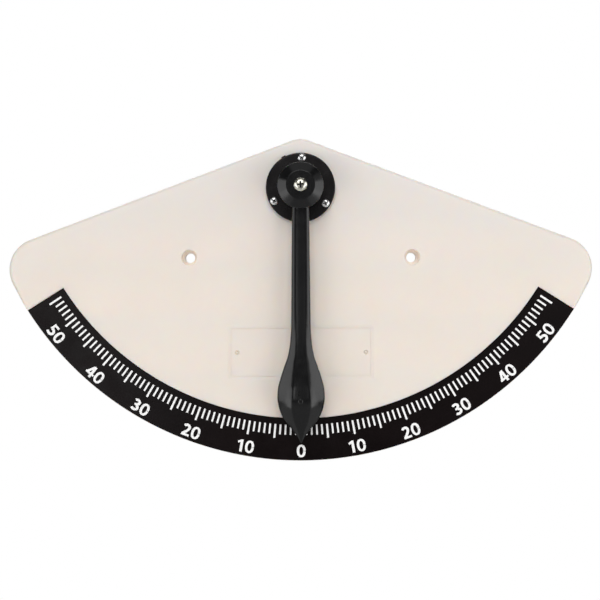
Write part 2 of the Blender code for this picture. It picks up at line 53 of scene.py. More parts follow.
H_BACK, H_CAP, R_CAP, R_CAP_FLAT, LENGTH = 20.5, 36.0, 13.6, 8.5, 152.2
# The bearings are 4 x 13 x 5 mm with seven balls.
R_BEARING, R_BORE, R_PITCH, R_BALL, R_GROOVE, R_LAND_IN, R_LAND_OUT = 6.5, 2.05, 4.25, 1.19, 1.30, 3.35, 5.20
R_AXLE = 1.95
DIVISION = math.radians(1.0273)


# ============================================================ mesh building blocks


def point(x, h, z):
    return (x * MM, -h * MM, z * MM)


def rounded(points, n=4, closed=False):
    """A 2-D path whose corners (a, b, radius) become arcs of n steps."""
    out = []
    count = len(points)
    for i, p in enumerate(points):
        radius = p[2] if len(p) > 2 else 0.0
        if radius <= 0 or (not closed and i in (0, count - 1)):
            out.append((p[0], p[1]))
            continue
        a, b, c = (Vector(points[k % count][:2]) for k in (i - 1, i, i + 1))
        u, v = (a - b), (c - b)
        reach = 0.49 * min(u.length, v.length)
        u.normalize()
        v.normalize()
        angle = u.angle(v, math.pi)
        if angle > math.pi - 0.02:
            for k in range(n + 1):
                out.append(tuple((b + u * reach * 0.5).lerp(b + v * reach * 0.5, k / n)))
            continue
        t = min(radius / math.tan(angle / 2), reach)
        radius = t * math.tan(angle / 2)
        centre = b + (u + v).normalized() * (radius / math.sin(angle / 2))
        s, e = b + u * t - centre, b + v * t - centre
        a0, a1 = math.atan2(s.y, s.x), math.atan2(e.y, e.x)
        turn = (a1 - a0 + math.pi) % (2 * math.pi) - math.pi
        for k in range(n + 1):
            q = a0 + turn * k / n
            out.append((centre.x + radius * math.cos(q), centre.y + radius * math.sin(q)))
    return out


def to_object(bm, name):
    bmesh.ops.recalc_face_normals(bm, faces=bm.faces)
    mesh = bpy.data.meshes.new(name)
    bm.to_mesh(mesh)
    bm.free()
    obj = bpy.data.objects.new(name, mesh)
    bpy.context.scene.collection.objects.link(obj)
    return obj


def loft(name, loops, caps=True):
    bm = bmesh.new()
    rings = [[bm.verts.new(point(*p)) for p in loop] for loop in loops]
    for a, b in zip(rings, rings[1:]):
        for i in range(len(a)):
            j = (i + 1) % len(a)
            bm.faces.new((a[i], a[j], b[j], b[i]))
    if caps:
        bm.faces.new(rings[0])
        bm.faces.new(list(reversed(rings[-1])))
    return to_object(bm, name)


def prism(name, outline, h0, h1):
    return loft(name, [[(x, h, z) for x, z in outline] for h in (h0, h1)])


def turned(name, profile, x=0.0, z=0.0, steps=64, ring=False, phase=0.0):
    """A body turned about the Y direction through (x, z), from (radius, depth) points."""
    bm = bmesh.new()
    rings = []
    for r, h in profile:
        if r < 1e-9:
            rings.append([bm.verts.new(point(x, h, z))])
            continue
        rings.append([
            bm.verts.new(point(
                x + r * math.cos(phase + 2 * math.pi * i / steps), h,
                z + r * math.sin(phase + 2 * math.pi * i / steps)))
            for i in range(steps)
        ])
    pairs = list(zip(rings, rings[1:])) + ([(rings[-1], rings[0])] if ring else [])
    for a, b in pairs:
        for i in range(steps):
            j = (i + 1) % steps
            if len(a) == 1 and len(b) == 1:
                continue
            if len(a) == 1:
                bm.faces.new((a[0], b[j], b[i]))
            elif len(b) == 1:
                bm.faces.new((a[i], a[j], b[0]))
            else:
                bm.faces.new((a[i], a[j], b[j], b[i]))
    return to_object(bm, name)


def cylinder(name, r, h0, h1, x=0.0, z=0.0, steps=32, phase=0.0):
    return turned(name, [(0, h0), (r, h0), (r, h1), (0, h1)], x, z, steps, phase=phase)


def box(name, x0, x1, h0, h1, z0, z1):
    return prism(name, [(x0, z0), (x1, z0), (x1, z1), (x0, z1)], h0, h1)


def combine(obj, other, operation):
    modifier = obj.modifiers.new(operation.lower(), "BOOLEAN")
    modifier.operation = operation
    modifier.solver = "EXACT"
    modifier.object = other
    graph = bpy.context.evaluated_depsgraph_get()
    mesh = bpy.data.meshes.new_from_object(obj.evaluated_get(graph))
    obj.modifiers.clear()
    old = obj.data
    obj.data = mesh
    bpy.data.meshes.remove(old)
    old = other.data
    bpy.data.objects.remove(other)
    bpy.data.meshes.remove(old)
    return obj


def cut(obj, *others):
    for other in others:
        combine(obj, other, "DIFFERENCE")
    return obj


def piece(obj, name, mat, body, replaced=(), sharp=35, weighted=True):
    """Names a finished piece, gives it its material and puts it on its body."""
    obj.name = name
    obj.data.name = name
    bm = bmesh.new()
    bm.from_mesh(obj.data)
    bmesh.ops.remove_doubles(bm, verts=bm.verts, dist=1.5e-6)
    bm.to_mesh(obj.data)
    bm.free()
    obj.data.materials.clear()
    obj.data.materials.append(mat)
    obj.data.shade_smooth()
    obj.data.set_sharp_from_angle(angle=math.radians(sharp))
    if weighted:
        modifier = obj.modifiers.new("weighted", "WEIGHTED_NORMAL")
        modifier.keep_sharp = True
    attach(obj, body)
    if replaced:
        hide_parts(*replaced)
    return obj


# ======================================================================= materials


class Nodes:
    """A few short ways to lay out a material's nodes."""

    def __init__(self, name):
        self.material = bpy.data.materials.new(name)
        self.material.use_nodes = True
        self.tree = self.material.node_tree
        self.shader = self.tree.nodes["Principled BSDF"]
        self.coords = self.add("ShaderNodeTexCoord")

    def add(self, kind, **settings):
        node = self.tree.nodes.new(kind)
        for key, value in settings.items():
            setattr(node, key, value)
        return node

    def join(self, a, b):
        self.tree.links.new(a, b)

    def noise(self, scale, detail=3.0, rough=0.5, source="Object", distortion=0.0, stretch=None):
        vector = self.coords.outputs[source]
        if stretch:
            mapping = self.add("ShaderNodeMapping")
            mapping.inputs["Scale"].default_value = stretch
            self.join(vector, mapping.inputs["Vector"])
            vector = mapping.outputs["Vector"]
        node = self.add("ShaderNodeTexNoise")
        node.inputs["Scale"].default_value = scale
        node.inputs["Detail"].default_value = detail
        node.inputs["Roughness"].default_value = rough
        node.inputs["Distortion"].default_value = distortion
        self.join(vector, node.inputs["Vector"])
        return node.outputs["Fac"]

    def ramp(self, factor, stops):
        node = self.add("ShaderNodeValToRGB")
        ramp = node.color_ramp
        while len(ramp.elements) < len(stops):
            ramp.elements.new(0.5)
        for element, (place, colour) in zip(ramp.elements, stops):
            element.position = place
            element.color = (*colour, 1.0)
        self.join(factor, node.inputs["Fac"])
        return node.outputs["Color"]

    def between(self, factor, low, high, start=0.3, stop=0.7):
        node = self.add("ShaderNodeMapRange")
        for key, value in (("From Min", start), ("From Max", stop), ("To Min", low), ("To Max", high)):
            node.inputs[key].default_value = value
        self.join(factor, node.inputs["Value"])
        return node.outputs["Result"]

    def math(self, operation, a, b=None):
        node = self.add("ShaderNodeMath", operation=operation)
        for socket, value in zip(node.inputs, (a, b)):
            if value is None:
                continue
            if isinstance(value, (int, float)):
                socket.default_value = value
            else:
                self.join(value, socket)
        return node.outputs[0]

    def bump(self, height, strength, distance, after=None):
        node = self.add("ShaderNodeBump")
        node.inputs["Strength"].default_value = strength
        node.inputs["Distance"].default_value = distance
        self.join(height, node.inputs["Height"])
        if after is not None:
            self.join(after, node.inputs["Normal"])
        return node.outputs["Normal"]

    def set(self, **values):
        for key, value in values.items():
            socket = self.shader.inputs[key.replace("_", " ")]
            if isinstance(value, (int, float)):
                socket.default_value = value
            elif isinstance(value, tuple):
                socket.default_value = (*value, 1.0)
            else:
                self.join(value, socket)
        return self


def cream_plastic(name="cream_moulded_plastic", painted_glow=0.0):
    """The moulding's plastic; painted_glow is the strength of a painted glow, an emission
    that stands in for the light reaching a deep hole's walls from inside the translucent plastic."""
    n = Nodes(name)
    cloud = n.noise(11.0, 4.0, 0.55)
    colour = n.ramp(cloud, [
        (0.30, (0.834, 0.748, 0.674)),
        (0.55, (0.856, 0.773, 0.705)),
        (0.75, (0.846, 0.760, 0.687)),
    ])
    # Painted shade: the colour turns a little greyer towards the top of the moulding.
    split = n.add("ShaderNodeSeparateXYZ")
    n.join(n.coords.outputs["Object"], split.inputs[0])
    high = n.between(n.math("ADD", split.outputs["Z"], n.between(cloud, -0.006, 0.006)), 0.0, 1.0, -0.015, 0.068)
    painted_top_shade = n.add("ShaderNodeMix", data_type="RGBA")
    n.join(high, painted_top_shade.inputs["Factor"])
    n.join(colour, painted_top_shade.inputs["A"])
    painted_top_shade.inputs["B"].default_value = (0.806, 0.760, 0.729, 1.0)
    colour = painted_top_shade.outputs["Result"]
    grain = n.noise(2600.0, 2.0, 0.6)
    wave = n.noise(95.0, 2.0, 0.5)
    rough = n.between(n.noise(42.0, 5.0, 0.6), 0.36, 0.47)
    fine = n.bump(grain, 0.10, 0.00008)
    normal = n.bump(wave, 0.05, 0.0006, fine)
    n.set(Base_Color=colour, Roughness=rough, Normal=normal, IOR=1.5,
          Subsurface_Weight=0.5, Subsurface_Scale=0.005)
    n.shader.inputs["Subsurface Radius"].default_value = (1.0, 0.62, 0.36)
    # Painted glow: an emission of strength painted_glow, zero for the plain plastic.
    n.shader.inputs["Emission Color"].default_value = (1.0, 0.93, 0.82, 1.0)
    n.shader.inputs["Emission Strength"].default_value = painted_glow
    return n.material


def scale_black():
    n = Nodes("scale_strip_black")
    cloud = n.noise(30.0, 4.0, 0.6)
    colour = n.ramp(cloud, [
        (0.30, (0.0026, 0.0012, 0.0013)),
        (0.70, (0.0052, 0.0026, 0.0028)),
    ])
    grain = n.noise(3400.0, 2.0, 0.6)
    rough = n.between(n.noise(120.0, 4.0, 0.6), 0.18, 0.25)
    n.set(Base_Color=colour, Roughness=rough, Normal=n.bump(grain, 0.12, 0.00006), IOR=1.45,
          Specular_IOR_Level=0.22)
    return n.material


def ink_white():
    n = Nodes("printed_white_ink")
    speck = n.noise(900.0, 4.0, 0.7)
    colour = n.ramp(speck, [
        (0.25, (0.90, 0.895, 0.885)),
        (0.60, (0.96, 0.958, 0.952)),
    ])
    n.set(Base_Color=colour, Roughness=n.between(speck, 0.45, 0.62), IOR=1.48,
          Normal=n.bump(n.noise(2600.0, 2.0), 0.15, 0.00004))
    return n.material


def gloss_black():
    n = Nodes("gloss_black_plastic")
    cloud = n.noise(38.0, 4.0, 0.6)
    colour = n.ramp(cloud, [
        (0.30, (0.0034, 0.0034, 0.0038)),
        (0.70, (0.0058, 0.0058, 0.0062)),
    ])
    peel = n.noise(420.0, 2.0, 0.5)
    sink = n.noise(110.0, 3.0, 0.55)
    hairs = n.noise(260.0, 6.0, 0.75, stretch=(9.0, 1.0, 1.0))
    rough = n.math("ADD", n.between(n.noise(160.0, 5.0, 0.7), 0.13, 0.21),
                   n.between(hairs, 0.0, 0.05, 0.45, 0.75))
    normal = n.bump(sink, 0.12, 0.0006, n.bump(peel, 0.06, 0.0002))
    n.set(Base_Color=colour, Roughness=rough, Normal=normal, IOR=1.48, Specular_IOR_Level=0.46)
    return n.material


def satin_black():
    n = Nodes("satin_black_plastic")
    cloud = n.noise(60.0, 4.0, 0.6)
    colour = n.ramp(cloud, [
        (0.30, (0.0046, 0.0036, 0.0040)),
        (0.70, (0.0080, 0.0066, 0.0070)),
    ])
    grain = n.noise(1900.0, 3.0, 0.6)
    rough = n.between(n.noise(130.0, 4.0, 0.6), 0.20, 0.29)
    n.set(Base_Color=colour, Roughness=rough, Normal=n.bump(grain, 0.12, 0.00008), IOR=1.48,
          Specular_IOR_Level=0.30)
    return n.material


def metal(name, low, high, rough, rings=0.0, mark=0.08, scale=160.0):
    """A plated or turned metal; rings are turning marks about the piece's own axis."""
    n = Nodes(name)
    cloud = n.noise(scale, 5.0, 0.65)
    colour = n.ramp(cloud, [(0.28, low), (0.72, high)])
    grain = n.noise(scale * 14.0, 3.0, 0.7)
    roughness = n.between(n.noise(scale * 2.2, 5.0, 0.7), rough * 0.75, rough * 1.3)
    normal = n.bump(grain, mark, 0.00005)
    if rings:
        offset = n.add("ShaderNodeVectorMath", operation="SUBTRACT")
        offset.inputs[1].default_value = (0.5, 0.5, 0.5)
        n.join(n.coords.outputs["Generated"], offset.inputs[0])
        split = n.add("ShaderNodeSeparateXYZ")
        n.join(offset.outputs["Vector"], split.inputs[0])
        x2 = n.math("MULTIPLY", split.outputs["X"], split.outputs["X"])
        z2 = n.math("MULTIPLY", split.outputs["Z"], split.outputs["Z"])
        radius = n.math("SQRT", n.math("ADD", x2, z2))
        wobble = n.math("MULTIPLY", n.noise(3.0, 2.0, 0.5, source="Generated"), 1.6)
        wave = n.math("SINE", n.math("ADD", n.math("MULTIPLY", radius, rings), wobble))
        normal = n.bump(wave, 0.10, 0.00003, normal)
    n.set(Base_Color=colour, Roughness=roughness, Metallic=1.0, Normal=normal)
    return n.material


CREAM = cream_plastic()
# The same plastic with a painted glow, for the walls of the mounting holes.
CREAM_BORE_GLOW = cream_plastic("cream_plastic_painted_glow_in_holes", 0.12)
STRIP = scale_black()
INK = ink_white()
GLOSS = gloss_black()
SATIN = satin_black()
NICKEL = metal("nickel_plate", (0.60, 0.585, 0.50), (0.80, 0.785, 0.69), 0.24, rings=260.0)
CHROME = metal("bright_plate", (0.74, 0.74, 0.75), (0.93, 0.93, 0.93), 0.26, rings=160.0)
STEEL = metal("bearing_steel", (0.50, 0.505, 0.52), (0.64, 0.645, 0.66), 0.20, rings=420.0)
BALL = metal("ball_steel", (0.62, 0.625, 0.64), (0.72, 0.725, 0.74), 0.07, mark=0.02)
CAGE = metal("pressed_steel", (0.36, 0.36, 0.37), (0.50, 0.50, 0.51), 0.34, mark=0.15)
# Painted shade: a dark metal laid inside the cross recesses in place of their shadow.
RECESS_SHADE = metal("recess_shadow", (0.030, 0.028, 0.025), (0.10, 0.095, 0.085), 0.42, mark=0.3, scale=900.0)
BRASS = metal("turned_brass", (0.62, 0.43, 0.16), (0.78, 0.58, 0.26), 0.28, rings=300.0)
IRON = metal("cast_iron", (0.055, 0.054, 0.056), (0.13, 0.125, 0.125), 0.55, mark=0.6, scale=420.0)


# ====================================================================== base plate


def arc(cx, cz, r, a0, a1, n):
    return [(cx + r * math.cos(a0 + (a1 - a0) * i / n), cz + r * math.sin(a0 + (a1 - a0) * i / n))
            for i in range(n + 1)]


def plate_outline(inset, fine=1):
    up = math.pi / 2 - EDGE_SLOPE
    line = math.cos(EDGE_SLOPE) * Z_APEX - inset
    r_apex, r_corner, r_arc = R_APEX - inset, R_CORNER - inset, R_OUT - inset
    z_apex = (line - r_apex) / math.cos(EDGE_SLOPE)
    beta = math.asin((line - r_corner - math.cos(EDGE_SLOPE) * Z_ARC) / (r_arc - r_corner)) - EDGE_SLOPE
    kx = (r_arc - r_corner) * math.cos(beta)
    kz = Z_ARC + (r_arc - r_corner) * math.sin(beta)
    right = arc(0, z_apex, r_apex, math.pi / 2, up, 6 * fine) + arc(kx, kz, r_corner, up, beta, 14 * fine)
    lower = arc(0, Z_ARC, r_arc, beta, -math.pi - beta, 100 * fine)
    left = [(-px, pz) for px, pz in reversed(right)]
    return right + lower[1:-1] + left[:-1]


def sector(name, r0, r1, half, h0, h1, n, lip=0.0):
    """A band between two arcs about the scale's centre; lip widens its front."""
    loops = []
    for h, grow in ((h0, 0.0), (h1, lip)):
        b = -math.pi / 2
        g = half + grow / r1
        outline = arc(0, Z_ARC, r1 + grow, b - g, b + g, n)
        outline += list(reversed(arc(0, Z_ARC, r0 - grow, b - g, b + g, n)))
        loops.append([(x, h, z) for x, z in outline])
    return loft(name, loops)


def screw_places():
    places = []
    for name, clock in (("top", 0), ("right", 120), ("left", 240)):
        turn = math.radians(clock + FLANGE_TURN)
        places.append((name, PCD_R * math.sin(turn), Z_PIVOT + PCD_R * math.cos(turn)))
    return places


def rounded_box_outline(w, h, r, cz, n=5):
    pts = [(-w / 2, cz - h / 2, r), (w / 2, cz - h / 2, r), (w / 2, cz + h / 2, r), (-w / 2, cz + h / 2, r)]
    return rounded(pts, n, closed=True)


def make_plate():
    # The front edge's rounding: full along the upper edges, small beside the band.
    outer, inner = plate_outline(0.0), plate_outline(2.6)
    loops = [[(x + (u - x) * 0.1, 0.0, z + (w - z) * 0.1) for (x, z), (u, w) in zip(outer, inner)],
             [(x, 0.25, z) for x, z in outer]]
    for k in range(9):
        a = math.pi / 2 * k / 8
        loop = []
        for (x, z), (u, w) in zip(outer, inner):
            off = abs(math.atan2(x, Z_ARC - z))
            blend = min(1.0, max(0.0, (off - BAND_HALF) / math.radians(4.0)))
            radius = 0.65 + 1.95 * blend
            t = (1 - math.cos(a)) * radius / 2.6
            loop.append((x + (u - x) * t, H_FRONT - radius * (1 - math.sin(a)), z + (w - z) * t))
        loops.append(loop)
    plate = loft("plate", loops)
    hollow = prism("hollow", plate_outline(SKIRT), -1.0, H_FRONT - WALL)
    deep = H_FRONT - WALL + 1.5
    for x in (-138.0, -102.5, -HOLE_X, -33.45, 0.0, 33.45, HOLE_X, 102.5, 138.0):
        cut(hollow, box("rib", x - RIB / 2, x + RIB / 2, H_RIB, deep, -130, 80))
    for z in (-99.0, -66.0, -33.0, 0.0, 33.0):
        cut(hollow, box("rib", -180, 180, H_RIB, deep, z - RIB / 2, z + RIB / 2))
    cut(hollow, box("tie", -HOLE_X, HOLE_X, -2.0, deep, -1.6, 1.6))
    for side in (-1, 1):
        boss = turned("boss", [(0, -2), (R_HOLE_BOSS - 0.3, -2), (R_HOLE_BOSS - 0.3, 0.05), (R_HOLE_BOSS, 0.4),
                               (R_HOLE_BOSS, deep), (0, deep)], side * HOLE_X, 0.0, 72, phase=0.05)
        cut(hollow, boss)
    cut(hollow, cylinder("tube", R_BOSS + 3.5, 4.0, deep, 0.0, Z_PIVOT, 96, 0.03))
    for _, x, z in screw_places():
        cut(hollow, cylinder("boss", 3.4, 4.0, deep, x, z, 40, 0.05))
    cut(plate, hollow)
    bore = [(0, -2.0), (R_BOSS + 0.3, -2.0), (R_BOSS + 0.3, 20.0), (0, 20.0)]
    cut(plate, turned("bore", bore, 0.0, Z_PIVOT, 96, phase=0.01))
    cut(plate, sector("pocket", R_BAND_IN - 0.12, R_OUT + 6, BAND_HALF + 0.12 / R_OUT, H_FRONT - 0.8, H_FRONT + 0.01, 100))
    # The shallow panel: a wide bevel, then a fine groove round its floor.
    w, t = PANEL_W, PANEL_H
    bevel = loft("panel", [
        [(x, H_FRONT - 0.22, z) for x, z in rounded_box_outline(w - 3.2, t - 3.2, 0.4, PANEL_Z)],
        [(x, H_FRONT - 0.15, z) for x, z in rounded_box_outline(w - 2.6, t - 2.6, 0.6, PANEL_Z)],
        [(x, H_FRONT - 0.06, z) for x, z in rounded_box_outline(w - 0.2, t - 0.2, 1.2, PANEL_Z)],
        [(x, H_FRONT + 1.00, z) for x, z in rounded_box_outline(w + 1.4, t + 1.4, 1.4, PANEL_Z)],
    ])
    cut(plate, bevel)
    groove_out = prism("groove", rounded_box_outline(w - 3.2, t - 3.2, 0.4, PANEL_Z), H_FRONT - 0.50, H_FRONT + 0.1)
    groove_in = prism("groove_in", rounded_box_outline(w - 3.9, t - 3.9, 0.3, PANEL_Z), H_FRONT - 0.8, H_FRONT + 0.4)
    cut(plate, cut(groove_out, groove_in))
    for side in (-1, 1):
        hole = rounded([(0, -2), (R_HOLE + 0.4, -2), (R_HOLE + 0.4, 0.02), (R_HOLE, 0.4), (R_HOLE, H_CBORE - 0.25),
                        (R_HOLE + 0.25, H_CBORE), (R_CBORE, H_CBORE, 0.3), (R_CBORE, H_FRONT - 0.5),
                        (R_CBORE + 0.10, H_FRONT - 0.18), (R_CBORE + 0.32, H_FRONT + 0.02), (R_CBORE + 0.32, 16), (0, 16)], 4)
        cut(plate, turned("hole", hole, side * HOLE_X, 0.0, 72, phase=0.07))
        pin = [(0.62, H_FRONT + 1), (0.62, H_FRONT - 0.35), (0.80, H_FRONT - 1.3), (1.05, H_FRONT - 1.3),
               (1.25, H_FRONT - 0.45), (1.42, H_FRONT - 0.20), (1.55, H_FRONT + 1)]
        cut(plate, turned("pin", pin, side * PANEL_PIN_X + 0.3, PANEL_Z, 40, ring=True, phase=0.03))
    for _, x, z in screw_places():
        cut(plate, cylinder("pilot", 1.3, 2.0, 20.0, x, z, 20, 0.02))
    return plate


def make_band():
    """The scale's strip, with its edges slightly rounded."""
    soft = 0.22
    loops = []
    for h, inset in ((H_FRONT - 0.7, 0.0), (H_FRONT - soft, 0.0), (H_FRONT - soft * 0.3, soft * 0.3), (H_FRONT, soft)):
        b, n = -math.pi / 2, 200
        g = BAND_HALF - inset / R_OUT
        outline = arc(0, Z_ARC, R_OUT - 0.25 - inset, b - g, b + g, n)
        outline += list(reversed(arc(0, Z_ARC, R_BAND_IN + inset, b - g, b + g, n)))
        loops.append([(x, h, z) for x, z in outline])
    return loft("band", loops)


# ============================================================ the print on the scale


def ellipse(cx, cy, rx, ry, a0, a1, n, power=2.0):
    """Part of a superellipse, angles in degrees."""
    out = []
    for i in range(n + 1):
        t = math.radians(a0 + (a1 - a0) * i / n)
        c, s = math.cos(t), math.sin(t)
        out.append((cx + rx * math.copysign(abs(c) ** (2 / power), c),
                    cy + ry * math.copysign(abs(s) ** (2 / power), s)))
    return out


def stroke(path, width):
    """Left and right edges of a stroke along path; width is a number or a function of 0..1."""
    count = len(path)
    left, right = [], []
    total = sum((Vector(b) - Vector(a)).length for a, b in zip(path, path[1:]))
    run = 0.0
    for i, p in enumerate(path):
        p = Vector(p)
        back = (p - Vector(path[i - 1])).normalized() if i else None
        ahead = (Vector(path[i + 1]) - p).normalized() if i < count - 1 else None
        if i:
            run += (p - Vector(path[i - 1])).length
        half = (width(run / total) if callable(width) else width) / 2
        if back is None:
            normal = Vector((-ahead.y, ahead.x))
        elif ahead is None:
            normal = Vector((-back.y, back.x))
        else:
            normal = Vector((-back.y - ahead.y, back.x + ahead.x))
            normal.normalize()
            normal /= max(0.35, normal.dot(Vector((-back.y, back.x))))
        left.append(tuple(p + normal * half))
        right.append(tuple(p - normal * half))
    return left, right


# Each numeral is a list of strips (left edge, right edge) on a unit-height body.
# The set width of each is GLYPH_WIDTH.
GLYPH_WIDTH = {"0": 0.805, "1": 0.70, "2": 0.775, "3": 0.765, "4": 0.82, "5": 0.765}


def glyph(digit):
    w = 0.205
    if digit == "0":
        outer = ellipse(0.40, 0.5, 0.365, 0.515, 0, 360, 48, 2.25)
        inner = ellipse(0.40, 0.5, 0.160, 0.345, 0, 360, 48, 2.1)
        return [(outer, inner)]
    if digit == "1":
        left = [(0.315, 0.0), (0.315, 0.66), (0.315, 0.775), (0.13, 0.685), (0.075, 0.84)]
        right = [(0.53, 0.0), (0.53, 0.66), (0.53, 1.0), (0.37, 1.0), (0.37, 1.0)]
        return [(left, right)]
    if digit == "2":
        path = ellipse(0.345, 0.70, 0.225, 0.205, 158, -24, 22)
        path += [(0.485, 0.49), (0.38, 0.36), (0.25, 0.23), (0.145, 0.125)]
        bar = ([(0.055, 0.0), (0.715, 0.0)], [(0.055, 0.18), (0.715, 0.18)])
        return [stroke(path, w), bar]
    if digit == "3":
        upper = ellipse(0.32, 0.735, 0.225, 0.17, 145, -75, 24)
        lower = ellipse(0.325, 0.285, 0.265, 0.19, 80, -145, 26)
        waist = ([(0.20, 0.605), (0.38, 0.605)], [(0.20, 0.44), (0.38, 0.44)])
        return [stroke(upper, w), stroke(lower, w), waist]
    if digit == "4":
        stem = ([(0.445, 0.0), (0.445, 1.0)], [(0.65, 0.0), (0.65, 1.0)])
        slant = ([(0.01, 0.26), (0.40, 1.0)], [(0.22, 0.26), (0.54, 0.86)])
        bar = ([(0.01, 0.215), (0.79, 0.215)], [(0.01, 0.38), (0.79, 0.38)])
        return [stem, slant, bar]
    bowl = ellipse(0.31, 0.32, 0.275, 0.225, 112, -146, 30)
    top = ([(0.135, 0.82), (0.66, 0.82)], [(0.135, 1.0), (0.66, 1.0)])
    side = ([(0.13, 1.0), (0.10, 0.46)], [(0.31, 1.0), (0.28, 0.50)])
    return [stroke(bowl, w), top, side]


def make_print():
    bm = bmesh.new()
    base, proud = H_FRONT - 0.01, 0.03

    def slab(left, right, rise):
        """A strip of ink, closed all round."""
        low = [[bm.verts.new(point(x, base, z)) for x, z in side] for side in (left, right)]
        top = [[bm.verts.new(point(x, H_FRONT + proud + rise, z)) for x, z in side] for side in (left, right)]
        n = len(left)
        for i in range(n - 1):
            j = i + 1
            bm.faces.new((top[0][i], top[0][j], top[1][j], top[1][i]))
            bm.faces.new((low[0][i], low[1][i], low[1][j], low[0][j]))
            bm.faces.new((low[0][i], low[0][j], top[0][j], top[0][i]))
            bm.faces.new((low[1][j], low[1][i], top[1][i], top[1][j]))
        bm.faces.new((low[0][0], top[0][0], top[1][0], low[1][0]))
        bm.faces.new((low[0][-1], low[1][-1], top[1][-1], top[0][-1]))

    for k in range(-55, 56):
        a = DIVISION * k
        long = k % 5 == 0
        r0, r1 = 172.2, 180.5 if long else 178.2
        half = (1.16 if long else 1.06) / 2
        out = Vector((math.sin(a), -math.cos(a)))
        side = Vector((math.cos(a), math.sin(a)))
        centre = Vector((0.0, Z_ARC))
        left, right = [], []
        for r in (r0, r1):
            mid = centre + out * r
            left.append(tuple(mid - side * half))
            right.append(tuple(mid + side * half))
        slab(left, right, 0.0)
    high, r_mid = 7.3, 187.75
    for k in range(-50, 51, 10):
        text = str(abs(k))
        a = DIVISION * k
        up = Vector((-math.sin(a), math.cos(a)))
        across = Vector((math.cos(a), math.sin(a)))
        middle = Vector((0.0, Z_ARC)) - up * r_mid
        total = sum(GLYPH_WIDTH[c] for c in text) * high
        pen = -total / 2
        for digit in text:
            for index, (left, right) in enumerate(glyph(digit)):
                placed = [
                    [tuple(middle + across * (pen + x * high) + up * ((y - 0.5) * high)) for x, y in side]
                    for side in (left, right)
                ]
                slab(*placed, 0.004 * index)
            pen += GLYPH_WIDTH[digit] * high
    return to_object(bm, "print")


# ============================================================================ pivot


def make_flange():
    profile = rounded([
        (R_FLANGE, H_FRONT + 0.2, 0.2), (R_FLANGE, H_FLANGE, 0.75), (R_BOSS, H_FLANGE, 1.0),
        (R_BOSS, H_BOSS, 0.4), (6.6, H_BOSS, 0.3), (6.6, H_FRONT_BEARING - 2.6), (5.4, H_FRONT_BEARING - 2.6, 0.2),
        (5.4, H_REAR_BEARING + 2.6, 0.2), (6.6, H_REAR_BEARING + 2.6), (6.6, H_SPIGOT, 0.3), (R_BOSS, H_SPIGOT, 0.5),
        (R_BOSS, H_FRONT + 0.2, 0.1),
    ], 5, closed=True)
    flange = turned("flange", profile, 0.0, Z_PIVOT, 144, ring=True)
    # The stub of the moulding gate on the rim, above and to the left.
    a = math.radians(90 + 28.7)
    stub = []
    for along, out in ((-1.6, 19.5), (1.6, 19.5), (1.3, 21.3), (-1.3, 21.3)):
        stub.append((out * math.cos(a) - along * math.sin(a), Z_PIVOT + out * math.sin(a) + along * math.cos(a)))
    combine(flange, prism("stub", stub, H_FRONT + 0.5, H_FLANGE - 0.9), "UNION")
    for _, x, z in screw_places():
        cut(flange, turned("hole", [(0, 10), (1.5, 10), (1.5, H_FLANGE - 0.3), (1.8, H_FLANGE + 0.01), (1.8, 24), (0, 24)],
                           x, z, 32, phase=0.02))
    return flange


def cross(name, reach, width, h_top, depth, x, z, turn=0.0, taper=0.6):
    """A cross recess: tapered wings, rounded where they meet, and a conical floor."""
    loops = []
    for h, k in ((h_top + 0.6, 1.12), (h_top, 1.0), (h_top - depth * 0.5, 1.0 - (1.0 - taper) * 0.5), (h_top - depth, taper), (h_top - depth * 1.35, 0.12)):
        a, b = reach * k, width * (0.45 + 0.55 * k) / 2
        if k < 0.2:
            b = min(b, a * 0.6)
        outline = []
        for quarter in range(4):
            q = math.pi / 2 * quarter
            for px, pz in rounded([(a, -b), (a, b, b * 0.5), (b, b, b * 0.55), (b, a)], 3)[1:-1]:
                outline.append((px * math.cos(q) - pz * math.sin(q), px * math.sin(q) + pz * math.cos(q)))
            corner = rounded([(b, b), (b, a, b * 0.5), (-b, a)], 3)[1:-1]
            for px, pz in corner:
                outline.append((px * math.cos(q) - pz * math.sin(q), px * math.sin(q) + pz * math.cos(q)))
        c, s = math.cos(turn), math.sin(turn)
        loops.append([(x + px * c - pz * s, h, z + px * s + pz * c) for px, pz in outline])
    return loft(name, loops)


def threaded(r, h0, h1, pitch, depth):
    """Profile points of a thread-like shank from h0 down to h1."""
    out = []
    h = h0
    while h - pitch > h1:
        out += [(r, h), (r - depth, h - pitch * 0.5)]
        h -= pitch
    out.append((r, h))
    return out


def make_flange_screw(x, z, turn):
    seat = H_FLANGE + 0.1
    head = rounded([(0, seat + 1.78), (1.55, seat + 1.66, 1.2), (2.44, seat + 0.95, 0.7), (2.44, seat, 0.12), (1.2, seat)], 5)
    profile = head + threaded(1.18, seat - 0.6, 7.4, 0.6, 0.16) + [(0.5, 6.7), (0, 6.6)]
    screw = turned("screw", profile, x, z, 56)
    return cut(screw, cross("x", 1.35, 0.62, seat + 1.74, 0.85, x, z, turn))


def make_centre_screw():
    seat = H_CAP + 0.1
    head = rounded([(0, seat + 3.45), (2.5, seat + 3.2, 2.4), (4.05, seat + 2.0, 1.5), (4.2, seat, 0.25), (R_AXLE, seat)], 7)
    profile = head + [(R_AXLE, 9.0)] + threaded(R_AXLE, 8.8, 1.6, 0.7, 0.25) + [(1.6, 1.1), (0, 1.1)]
    screw = turned("screw", profile, 0.0, Z_PIVOT, 96)
    return cut(screw, cross("x", 2.15, 0.98, seat + 3.38, 1.7, 0.0, Z_PIVOT, math.radians(5)))


